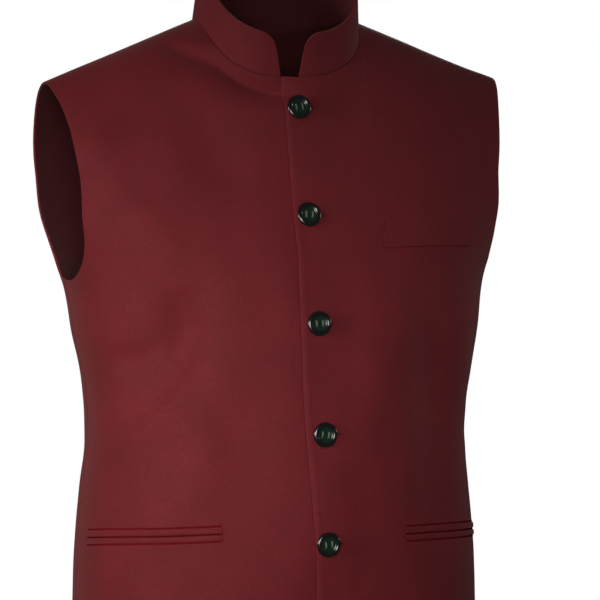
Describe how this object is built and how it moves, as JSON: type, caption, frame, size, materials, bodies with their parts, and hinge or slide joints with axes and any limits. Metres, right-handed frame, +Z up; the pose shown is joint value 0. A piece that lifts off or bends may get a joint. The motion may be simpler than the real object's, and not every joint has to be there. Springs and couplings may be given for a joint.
{
  "type": "nehru jacket",
  "caption": "Sleeveless buttoned jacket with a stand collar, lapped front, breast welt and jetted lower pockets, in its hollow worn form.",
  "frame": {"origin": "midway between the shoulders, at the height of the middle of the shoulder seams, where the wearer's shoulders hold the jacket up", "axes": "+X towards the wearer's left, +Y towards the wearer's back so that the front faces -Y, +Z up"},
  "size_m": [0.4558, 0.2531, 0.7017],
  "materials": {
    "suiting": "smooth worsted wool blend, matt with a soft sheen",
    "collar_suiting": "the same worsted over a stiff canvas",
    "black_resin": "polished cast resin"
  },
  "bodies": {
    "root": {"front_left": "suiting", "front_right": "suiting", "back": "suiting", "collar": "collar_suiting", "breast_welt": "suiting", "jet_upper_right": "suiting", "jet_lower_right": "suiting", "jet_upper_left": "suiting", "jet_lower_left": "suiting", "button_1": "black_resin", "button_2": "black_resin", "button_3": "black_resin", "button_4": "black_resin", "button_5": "black_resin"}
  },
  "joints": []
}
